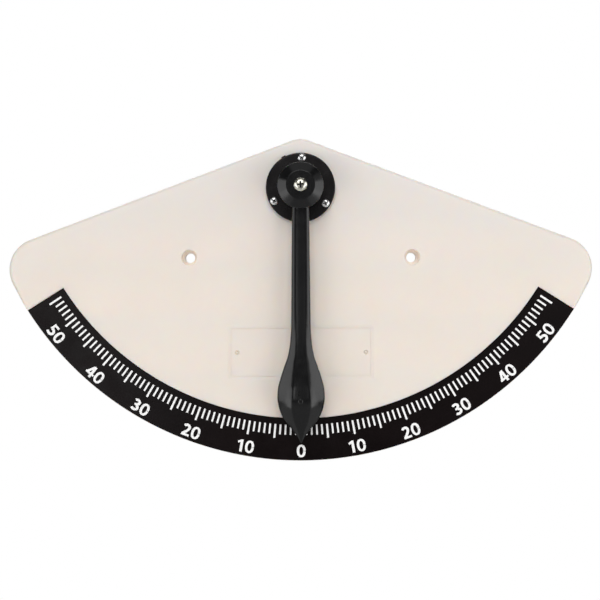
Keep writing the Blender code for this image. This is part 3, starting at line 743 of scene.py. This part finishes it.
def mark_recess(obj, seat, reach, x, z, mat):
    """Gives the walls and floor of a cross recess a darker material: painted shade in place of the shadow inside the
    recess.
    """
    obj.data.materials.append(mat)
    top = max(-v.co.y for v in obj.data.vertices) / MM
    for face in obj.data.polygons:
        c = face.center / MM
        r = math.hypot(c.x - x, c.z - z)
        dome = top - 0.06 - 0.55 * (r / reach) ** 2
        if r < reach * 1.12 and -c.y > seat + 0.15 and (-c.y < dome - 0.05 or abs(face.normal.y) < 0.8):
            face.material_index = 1
    return obj


# ========================================================================= bearings


def groove(side, mid, n=10):
    land = R_LAND_IN if side < 0 else R_LAND_OUT
    reach = math.acos(abs(land - R_PITCH) / R_GROOVE)
    return [(R_PITCH + side * R_GROOVE * math.cos(reach * (2 * k / n - 1)), mid + R_GROOVE * math.sin(reach * (2 * k / n - 1)))
            for k in range(n + 1)]


def ring_profile(side, mid):
    outer, land = (R_BORE, R_LAND_IN) if side < 0 else (R_BEARING, R_LAND_OUT)
    w = 2.5
    start = rounded([(outer, mid, 0), (outer, mid - w, 0.3), (land, mid - w, 0.12), (land, mid - 1.1)], 4)
    end = rounded([(land, mid + 1.1), (land, mid + w, 0.12), (outer, mid + w, 0.3), (outer, mid)], 4)
    return start + groove(side, mid)[1:-1] + end[:-1]


def make_cage(mid):
    """Two pressed halves that wave round the balls, riveted between them."""
    bm = bmesh.new()
    steps = 168
    rings = []
    for i in range(steps):
        a = 2 * math.pi * i / steps + math.pi / 2
        phase = (i % (steps / BALLS)) / (steps / BALLS)
        off = min(phase, 1 - phase) * 2 * math.pi / BALLS * R_PITCH  # arc length from the nearest ball
        bulge = math.sqrt(max(0.0, 1.50 ** 2 - off ** 2)) if off < 1.40 else 0.0
        half = max(0.26, bulge)
        loop = []
        for r, h in ((3.85, -half), (4.65, -half), (4.65, half), (3.85, half)):
            loop.append(bm.verts.new(point(r * math.cos(a), mid + h, Z_PIVOT + r * math.sin(a))))
        rings.append(loop)
    for i in range(steps):
        a, b = rings[i], rings[(i + 1) % steps]
        for k in range(4):
            j = (k + 1) % 4
            bm.faces.new((a[k], a[j], b[j], b[k]))
    cage = to_object(bm, "cage")
    for k in range(BALLS):
        a = 2 * math.pi * k / BALLS + math.pi / 2
        ca, sa = math.cos(a), math.sin(a)
        loops = []
        for r in (3.0, 5.6):
            loops.append([
                (r * ca - 1.28 * math.cos(t) * sa, mid + 1.28 * math.sin(t), Z_PIVOT + r * sa + 1.28 * math.cos(t) * ca)
                for t in (2 * math.pi * i / 24 for i in range(24))
            ])
        cut(cage, loft("pocket", loops))
    return cage


def make_ball(mid, k):
    a = 2 * math.pi * k / BALLS + math.pi / 2
    bm = bmesh.new()
    bmesh.ops.create_icosphere(bm, subdivisions=4, radius=R_BALL * MM)
    bmesh.ops.translate(bm, verts=bm.verts, vec=point(R_PITCH * math.cos(a), mid, Z_PIVOT + R_PITCH * math.sin(a)))
    return to_object(bm, "ball")


# ========================================================================= pendulum

# Distance below the pivot, half width, thickness, half width of the ridge, steepest
# tilt of the flank in degrees, and the radius of the front edge.
STATIONS = (
    (6.0, 5.05, 6.8, 2.2, 8, 2.1), (40.0, 5.38, 6.8, 2.3, 8, 2.2), (70.0, 5.68, 6.85, 2.4, 10, 2.3),
    (82.0, 5.83, 6.9, 2.4, 14, 2.3), (92.0, 6.40, 7.1, 2.5, 24, 2.0), (100.0, 7.70, 7.5, 2.7, 32, 1.6),
    (107.0, 10.10, 8.3, 3.1, 34, 1.8), (114.0, 12.35, 9.0, 3.8, 34, 1.9), (120.0, 13.80, 9.35, 4.3, 34, 1.9),
    (125.0, 14.10, 9.35, 4.5, 34, 1.9), (130.0, 13.40, 8.95, 4.3, 33, 1.8),
    (135.5, 11.50, 7.45, 3.6, 33, 1.2), (140.0, 8.70, 5.75, 2.7, 31, 1.1), (144.5, 5.00, 3.9, 1.5, 29, 0.9),
    (148.5, 2.30, 2.5, 0.7, 25, 0.7), (LENGTH, 0.35, 1.4, 0.1, 20, 0.15),
)


def smooth(values, t):
    """Monotone cubic through (t, value) pairs."""
    xs, ys = [v[0] for v in values], [v[1] for v in values]
    n = len(xs)
    if t <= xs[0]:
        return ys[0]
    if t >= xs[-1]:
        return ys[-1]
    slope = [(ys[i + 1] - ys[i]) / (xs[i + 1] - xs[i]) for i in range(n - 1)]
    tangent = [slope[0]]
    for a, b in zip(slope, slope[1:]):
        tangent.append(0.0 if a * b <= 0 else 2 * a * b / (a + b))
    tangent.append(slope[-1])
    i = max(k for k in range(n - 1) if xs[k] <= t)
    step = xs[i + 1] - xs[i]
    u = (t - xs[i]) / step
    return ((2 * u**3 - 3 * u**2 + 1) * ys[i] + (u**3 - 2 * u**2 + u) * step * tangent[i]
            + (-2 * u**3 + 3 * u**2) * ys[i + 1] + (u**3 - u**2) * step * tangent[i + 1])


def half_width(d):
    return smooth([(s[0], s[1]) for s in STATIONS], d)


def front_profile(d, inner, outer):
    """Half of the front surface at distance d, from the middle out to the side wall.

    The sine of the surface's tilt grows slowly over the ridge, then quickly and
    ever more slowly over the flank, and an arc of the edge's radius ends it."""
    a, top, ridge, tilt, radius = (smooth([(s[0], s[k]) for s in STATIONS], d) for k in (1, 2, 3, 4, 5))
    steep = math.sin(math.radians(tilt))
    radius = min(radius, 0.5 * a)
    end = a - radius * (1 - steep)
    ridge = min(ridge, end * 0.8)
    x, y, fine = 0.0, top, 8
    points = [(x, y)]
    for i in range(inner * fine):
        u = (i + 0.5) / (inner * fine) * end
        if u < ridge:
            sine = 0.06 * u / ridge
        else:
            t = (u - ridge) / (end - ridge)
            sine = 0.06 + (steep - 0.06) * (1 - (1 - t) ** 3.0)
        y -= sine / math.sqrt(1 - sine * sine) * end / (inner * fine)
        x += end / (inner * fine)
        if (i + 1) % fine == 0:
            points.append((x, y))
    angle = math.asin(steep)
    for i in range(1, outer + 1):
        q = angle + (math.pi / 2 - angle) * i / outer
        points.append((end + radius * (math.sin(q) - steep), y - radius * (math.cos(angle) - math.cos(q))))
    return points


def section(d, inset=0.0, front=0.0, floor=H_BACK, inner=12, outer=8, back_round=0.35):
    """The pendulum's cross-section at distance d, taken in from the sides and the front."""
    base = floor - H_BACK
    a = half_width(d)
    half = [(x * (a - inset) / a, max(y - front, base + 0.6)) for x, y in front_profile(d, inner, outer)]
    wide = a - inset
    if back_round > 0.0:
        r = min(back_round, (half[-1][1] - base) * 0.45)
        half += [(wide, base + r), (wide - 0.3 * r, base + 0.3 * r), (wide - r, base)]
    else:
        half.append((wide, base))
    half.append((0.0, base))
    z = Z_PIVOT - d
    loop = [(x, H_BACK + y, z) for x, y in half]
    return loop + [(-x, H_BACK + y, z) for x, y in reversed(half[1:-1])]


def distances(d0, d1, split, n0, n1):
    first = [d0 + (split - d0) * i / n0 for i in range(n0)]
    return first + [split + (d1 - split) * i / n1 for i in range(n1 + 1)]


def opening(inset, h0, h1, name, d0, d1):
    places = distances(d0, d1, 88.0, 24, 60)
    right = [(half_width(d) - inset, Z_PIVOT - d) for d in places]
    return prism(name, right + [(-x, z) for x, z in reversed(right)], h0, h1)


COVER_SCREWS = (34.0, 125.0)


def make_pendulum():
    cap = turned("cap", rounded([
        (0, H_CAP), (R_CAP_FLAT, H_CAP, 0.45), (R_CAP, 33.1, 0.45), (R_CAP, H_FLANGE + 1.2, 0.4),
        (12.2, H_FLANGE + 1.2), (0, H_FLANGE + 1.2),
    ], 7), 0.0, Z_PIVOT, 160)
    arm = loft("arm", [section(d) for d in distances(6.0, LENGTH, 84.0, 26, 96)])
    body = combine(cap, arm, "UNION")
    cut(body,
        turned("hollow", [(0, 10), (R_BOSS + 0.8, 10), (R_BOSS + 0.8, H_BOSS + 0.5), (0, H_BOSS + 0.5)], 0.0, Z_PIVOT, 96, phase=0.02),
        cylinder("bore", 3.4, 20.0, 44.0, 0.0, Z_PIVOT, 48, 0.01))
    channel = loft("channel", [section(d, 2.2, 2.0, H_BACK - 1.0, 6, 3, 0.0) for d in distances(18.0, 141.0, 88.0, 10, 26)])
    for d in COVER_SCREWS:
        cut(channel, cylinder("boss", 2.4, H_BACK + 1.7, 50.0, 0.0, Z_PIVOT - d, 24, 0.02))
    cut(body, channel, opening(1.1, H_BACK - 1.0, H_BACK + 1.6, "rebate", 16.0, 143.0))
    for d in COVER_SCREWS:
        cut(body, cylinder("pilot", 0.95, H_BACK - 1, H_BACK + 5.0, 0.0, Z_PIVOT - d, 16, 0.03))
    # The ring left by an ejector pin on the bob, and the dimple above it.
    top = H_BACK + front_profile(127.0, 12, 8)[0][1]
    mark = [(1.0, 36), (1.0, top - 0.05), (1.2, top - 0.14), (1.42, top - 0.05), (1.42, 36)]
    cut(body, turned("mark", mark, -0.3, Z_PIVOT - 127.0, 40, ring=True, phase=0.02))
    top = H_BACK + front_profile(122.4, 12, 8)[0][1]
    dimple = turned("dimple", [(0, top - 0.9), (0.5, top - 0.8), (0.8, top + 0.4), (0, top + 0.4)], -1.1, Z_PIVOT - 122.4, 24, phase=0.03)
    dimple.data.transform(Matrix.Translation((0, 0, (Z_PIVOT - 122.4) * MM)) @ Matrix.Diagonal((1, 1, 1.8, 1))
                          @ Matrix.Translation((0, 0, -(Z_PIVOT - 122.4) * MM)))
    cut(body, dimple)
    return body


def make_cover():
    cover = opening(1.3, H_BACK + 0.05, H_BACK + 1.4, "cover", 16.2, 142.7)
    for d in COVER_SCREWS:
        profile = [(0, H_BACK - 1), (2.3, H_BACK - 1), (2.3, H_BACK + 0.05), (1.3, H_BACK + 1.0), (1.3, H_BACK + 4), (0, H_BACK + 4)]
        cut(cover, turned("sink", profile, 0.0, Z_PIVOT - d, 40, phase=0.02))
    return cover


def make_cover_screw(d):
    profile = [(0, H_BACK + 0.1), (1.95, H_BACK + 0.1), (2.08, H_BACK + 0.22), (1.15, H_BACK + 1.05)]
    profile += [(r, 2 * H_BACK + 5.4 - h) for r, h in threaded(0.85, H_BACK + 4.3, H_BACK + 1.4, 0.5, 0.12)]
    profile += [(0.4, H_BACK + 4.7), (0, H_BACK + 4.8)]
    screw = turned("screw", profile, 0.0, Z_PIVOT - d, 40)
    slot = loft("slot", [
        [(x * k * math.cos(0.3) - z * math.sin(0.3), h, Z_PIVOT - d + x * k * math.sin(0.3) + z * math.cos(0.3))
         for x, z in ((-1.3, -0.22), (1.3, -0.22), (1.3, 0.22), (-1.3, 0.22))]
        for h, k in ((H_BACK - 1.0, 1.0), (H_BACK + 0.55, 0.9))
    ])
    other = loft("slot", [
        [(-z * math.cos(0.3) - x * k * math.sin(0.3), h, Z_PIVOT - d - z * math.sin(0.3) + x * k * math.cos(0.3))
         for x, z in ((-1.3, -0.22), (1.3, -0.22), (1.3, 0.22), (-1.3, 0.22))]
        for h, k in ((H_BACK - 1.0, 1.0), (H_BACK + 0.6, 0.9))
    ])
    return cut(screw, slot, other)


def make_weight():
    weight = loft("weight", [section(104.0 + 34.0 * i / 24, 3.1, 2.4, H_BACK + 1.9, 8, 4, 0.15) for i in range(25)])
    return cut(weight, cylinder("hole", 2.7, 10.0, 50.0, 0.0, Z_PIVOT - COVER_SCREWS[1], 32, 0.03))


def make_nut():
    """A hexagonal lock nut: chamfered corners and a round collar."""
    hexagon = [(4.04 * math.cos(math.pi * k / 3 + 0.2), Z_PIVOT + 4.04 * math.sin(math.pi * k / 3 + 0.2)) for k in range(6)]
    nut = prism("nut", hexagon, 4.9, 8.7)
    round_off = turned("round", rounded([(0, 4.8), (3.4, 4.85), (4.12, 5.3, 0.2), (4.12, 8.3, 0.2), (3.5, 8.72), (0, 8.8)], 3), 0.0, Z_PIVOT, 72)
    combine(nut, round_off, "INTERSECT")
    combine(nut, turned("collar", rounded([(0, 3.9), (3.2, 3.9, 0.5), (3.25, 5.4), (0, 5.4)], 5), 0.0, Z_PIVOT, 72, phase=0.01), "UNION")
    return cut(nut, turned("bore", [(0, 2), (2.4, 2), (2.4, 3.95), (2.05, 4.3), (2.05, 8.4), (2.35, 8.75), (2.35, 10), (0, 10)], 0.0, Z_PIVOT, 48, phase=0.02))


def tube(name, r0, r1, h0, h1, soft=0.2):
    profile = rounded([(r0, h0, soft), (r1, h0, soft), (r1, h1, soft), (r0, h1, soft)], 4, closed=True)
    return turned(name, profile, 0.0, Z_PIVOT, 72, True)


# ======================================================================== all pieces

plate = piece(make_plate(), "plate", CREAM, "base", ["base_plate"])
# Painted glow: the counterbore and hole walls get the glowing copy of the cream plastic.
plate.data.materials.append(CREAM_BORE_GLOW)
for face in plate.data.polygons:
    c = face.center / MM
    if math.hypot(abs(c.x) - HOLE_X, c.z) < R_CBORE + 0.02 and -c.y > H_CBORE - 0.3:
        face.material_index = 1
piece(make_band(), "strip", STRIP, "base", ["scale_band"])
piece(make_print(), "scale_print", INK, "base", (), weighted=False)
piece(make_flange(), "flange", SATIN, "base", ["pivot_flange"])
for index, (word, x, z) in enumerate(screw_places()):
    screw = make_flange_screw(x, z, (0.62, 0.2, 1.0)[index])
    piece(screw, "small_screw_" + word, CHROME, "base", ["flange_screw_" + word], sharp=40)
    mark_recess(screw, H_FLANGE + 0.1, 1.35, x, z, RECESS_SHADE)
for word, mid in (("front", H_FRONT_BEARING), ("rear", H_REAR_BEARING)):
    for side, part, body in ((1, "outer_ring", "base"), (-1, "inner_ring", "pendulum")):
        made = turned("ring", ring_profile(side, mid), 0.0, Z_PIVOT, 96, ring=True)
        piece(made, f"{word}_{part}", STEEL, body, [f"{word}_bearing_{part}"])
    for side, part in ((1, "outer"), (-1, "inner")):
        towards = side if word == "front" else -side
        inner, outer = mid + towards * 2.02, mid + towards * 2.40
        profile = rounded([(3.52, inner, 0.05), (5.08, inner, 0.05), (5.08, outer, 0.1), (4.85, outer, 0.1),
                           (4.72, outer - towards * 0.12, 0.05), (3.80, outer - towards * 0.12, 0.05), (3.66, outer, 0.1), (3.52, outer, 0.1)],
                          3, closed=True)
        made = turned("shield", profile, 0.0, Z_PIVOT, 96, ring=True)
        piece(made, f"{word}_shield_{part}", CAGE, "base", [f"{word}_bearing_shield_{part}"])
    piece(make_cage(mid), f"{word}_cage", CAGE, f"{word}_ball_set", [f"{word}_bearing_cage"])
    for k in range(BALLS):
        piece(make_ball(mid, k), f"{word}_ball_{k + 1}", BALL, f"{word}_ball_set",
              [f"{word}_bearing_ball_{k + 1}"], weighted=False)
piece(make_pendulum(), "pendulum_moulding", GLOSS, "pendulum", ["pendulum_body"], sharp=38)
piece(make_cover(), "back_cover", SATIN, "pendulum", ["pendulum_back_cover"])
piece(make_weight(), "weight", IRON, "pendulum", ["bob_weight"])
for index, part in enumerate(("upper", "lower")):
    piece(make_cover_screw(COVER_SCREWS[index]), "tiny_screw_" + part, NICKEL, "pendulum", ["cover_screw_" + part])
piece(tube("bush", 2.1, 3.3, 30.05, 35.9), "bush", BRASS, "pendulum", ["hub_bush"])
screw = piece(make_centre_screw(), "axle_screw", NICKEL, "pendulum", ["centre_screw"], sharp=40)
mark_recess(screw, H_CAP + 0.1, 2.15, 0.0, Z_PIVOT, RECESS_SHADE)
piece(tube("spacer", 2.1, 2.95, H_REAR_BEARING + 2.6, H_FRONT_BEARING - 2.6), "spacer", STEEL, "pendulum", ["bearing_spacer"])
piece(tube("washer", 2.15, 3.9, 8.8, 9.75, 0.15), "washer", NICKEL, "pendulum", ["rear_washer"])
piece(make_nut(), "nut", NICKEL, "pendulum", ["lock_nut"])


# ================================================================ floor, light, camera


def make_floor():
    """A pale studio floor with a rounded outline, well below the instrument."""
    outline = rounded([(-430, -430, 120), (430, -430, 120), (430, 380, 120), (-430, 380, 120)], 12, closed=True)
    bm = bmesh.new()
    rings = [[bm.verts.new((x * MM, y * MM, z * MM)) for x, y in outline] for z in (-952, -950)]
    for i in range(len(outline)):
        j = (i + 1) % len(outline)
        bm.faces.new((rings[0][i], rings[0][j], rings[1][j], rings[1][i]))
    bm.faces.new(rings[1])
    bm.faces.new(list(reversed(rings[0])))
    floor = to_object(bm, "floor")
    n = Nodes("pale_floor")
    colour = n.ramp(n.noise(6.0, 3.0), [(0.3, (0.80, 0.80, 0.80)), (0.7, (0.84, 0.84, 0.84))])
    n.set(Base_Color=colour, Roughness=n.between(n.noise(20.0), 0.6, 0.75))
    floor.data.materials.append(n.material)


def softbox(name, place, target, width, height, radiance):
    light = bpy.data.lights.new(name, "AREA")
    light.shape = "RECTANGLE"
    light.size, light.size_y = width, height
    light.energy = radiance * math.pi * width * height
    obj = bpy.data.objects.new(name, light)
    obj.location = place
    obj.rotation_euler = (Vector(target) - Vector(place)).to_track_quat("-Z", "Z").to_euler()
    bpy.context.scene.collection.objects.link(obj)


make_floor()
centre = (0.0, 0.0, -0.02)
for word, azimuth, elevation, reach, width, height, radiance in (
    ("left_core", -54.0, -3.0, 1.20, 0.74, 1.26, 1.85),
    ("left_low", -56.0, -34.0, 1.20, 1.30, 0.74, 0.64),
    ("right_wide", 52.0, 4.0, 1.25, 1.10, 1.40, 0.38),
    ("right_core", 60.0, 0.0, 1.15, 0.66, 1.44, 1.80),
    ("right_low", 56.0, -34.0, 1.20, 1.30, 0.74, 0.64),
    ("overhead_near", -3.0, 32.0, 2.40, 1.60, 1.20, 4.30),
    ("overhead_high", 4.0, 62.0, 1.20, 1.20, 0.80, 0.40),
    ("rim_top", 180.0, 52.0, 1.30, 1.40, 0.90, 2.60),
    ("under", 0.0, -43.0, 1.20, 1.20, 1.10, 0.34),
):
    a, e = math.radians(azimuth), math.radians(elevation)
    place = (reach * math.cos(e) * math.sin(a), -reach * math.cos(e) * math.cos(a) - 0.02, reach * math.sin(e) - 0.02)
    softbox(word, place, centre, width, height, radiance)

world = bpy.data.worlds.new("studio")
bpy.context.scene.world = world
world.use_nodes = True
tree = world.node_tree
background = tree.nodes["Background"]
background.inputs["Color"].default_value = (1.0, 1.0, 1.0, 1.0)


def world_node(kind, *values, operation=None):
    node = tree.nodes.new(kind)
    if operation:
        node.operation = operation
    for socket, value in zip(node.inputs, values):
        if isinstance(value, (int, float)):
            socket.default_value = value
        elif value is not None:
            tree.links.new(value, socket)
    return node.outputs[0]


def world_range(value, low, high, to_low, to_high):
    node = tree.nodes.new("ShaderNodeMapRange")
    node.interpolation_type = "SMOOTHSTEP"
    for key, number in (("From Min", low), ("From Max", high), ("To Min", to_low), ("To Max", to_high)):
        node.inputs[key].default_value = number
    tree.links.new(value, node.inputs["Value"])
    return node.outputs["Result"]


coords = tree.nodes.new("ShaderNodeTexCoord")
split = tree.nodes.new("ShaderNodeSeparateXYZ")
path = tree.nodes.new("ShaderNodeLightPath")
tree.links.new(coords.outputs["Generated"], split.inputs[0])
square = world_node("ShaderNodeMath", split.outputs["X"], split.outputs["X"], operation="MULTIPLY")
rise = world_node("ShaderNodeMath", split.outputs["Z"], split.outputs["Z"], operation="MULTIPLY")
off_axis = world_node("ShaderNodeMath", world_node("ShaderNodeMath", square, rise, operation="ADD"), operation="SQRT")
near = world_range(off_axis, 0.07, 0.16, 0.22, 0.0)
near = world_node("ShaderNodeMath", near, world_range(split.outputs["Z"], 0.050, 0.085, 1.0, 0.25), operation="MULTIPLY")
front = world_node("ShaderNodeMath", near, world_range(split.outputs["Y"], -0.60, -0.10, 0.05, 0.03), operation="ADD")
left_strip = world_node("ShaderNodeMath", world_range(split.outputs["X"], -0.130, -0.095, 2.0, 0.0),
                        world_range(split.outputs["X"], -0.250, -0.190, 0.0, 1.0), operation="MULTIPLY")
right_strip = world_node("ShaderNodeMath", world_range(split.outputs["X"], 0.070, 0.160, 0.0, 0.50),
                         world_range(split.outputs["X"], 0.200, 0.250, 1.0, 0.0), operation="MULTIPLY")
strips = world_node("ShaderNodeMath", left_strip, right_strip, operation="ADD")
strips = world_node("ShaderNodeMath", strips, world_range(split.outputs["Z"], 0.015, 0.055, 1.0, 0.0), operation="MULTIPLY")
strips = world_node("ShaderNodeMath", strips, world_range(split.outputs["Z"], -0.140, -0.100, 0.0, 1.0), operation="MULTIPLY")
strips = world_node("ShaderNodeMath", strips, world_range(split.outputs["Y"], -0.6, -0.4, 1.0, 0.0), operation="MULTIPLY")
glow = world_node("ShaderNodeMath", front, strips, operation="ADD")
strength = world_node("ShaderNodeMath", glow, path.outputs["Is Camera Ray"], operation="MAXIMUM")
tree.links.new(strength, background.inputs["Strength"])

bpy.context.scene.view_settings.view_transform = "Standard"

lens = bpy.data.cameras.new("camera")
lens.sensor_width = 36.0
lens.lens = 80.1
lens.clip_start, lens.clip_end = 0.01, 20.0
camera = bpy.data.objects.new("camera", lens)
camera.matrix_world = (Matrix.Translation((-0.00048, -0.814, -0.02557))
                       @ Matrix.Rotation(math.radians(90), 4, "X")
                       @ Matrix.Rotation(math.radians(-0.17), 4, "Z"))
bpy.context.scene.collection.objects.link(camera)
bpy.context.scene.camera = camera
